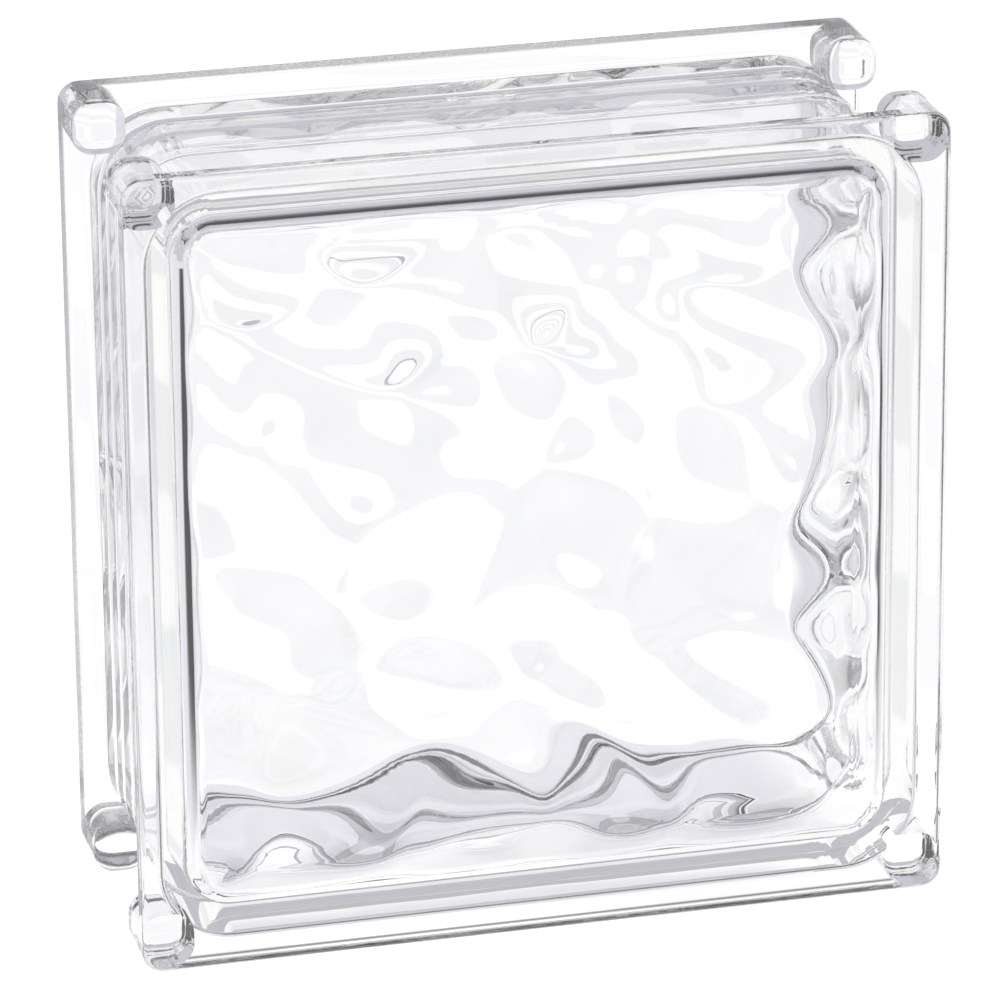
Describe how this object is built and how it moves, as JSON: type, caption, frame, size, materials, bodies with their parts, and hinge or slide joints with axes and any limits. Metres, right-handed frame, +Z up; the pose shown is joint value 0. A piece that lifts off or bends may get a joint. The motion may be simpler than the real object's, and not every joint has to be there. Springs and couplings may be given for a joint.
{
  "type": "glass block",
  "caption": "Square hollow building block of clear pressed glass with wavy faces, a recessed mortar channel all round and spacer lugs at the corners.",
  "frame": {"origin": "middle of the bottom side, on the plane that the rims and lugs stand on", "axes": "+X along the width, +Y from the front face to the back face, +Z up"},
  "size_m": [0.1968, 0.0794, 0.1969],
  "materials": {
    "clear_glass": "clear pressed glass, smooth and fire polished, with a faint grey-green cast in thick places and a finely grained, matt skin on the outer sides of the back rim"
  },
  "bodies": {
    "root": {"front_half": "clear_glass", "back_half": "clear_glass"}
  },
  "joints": []
}
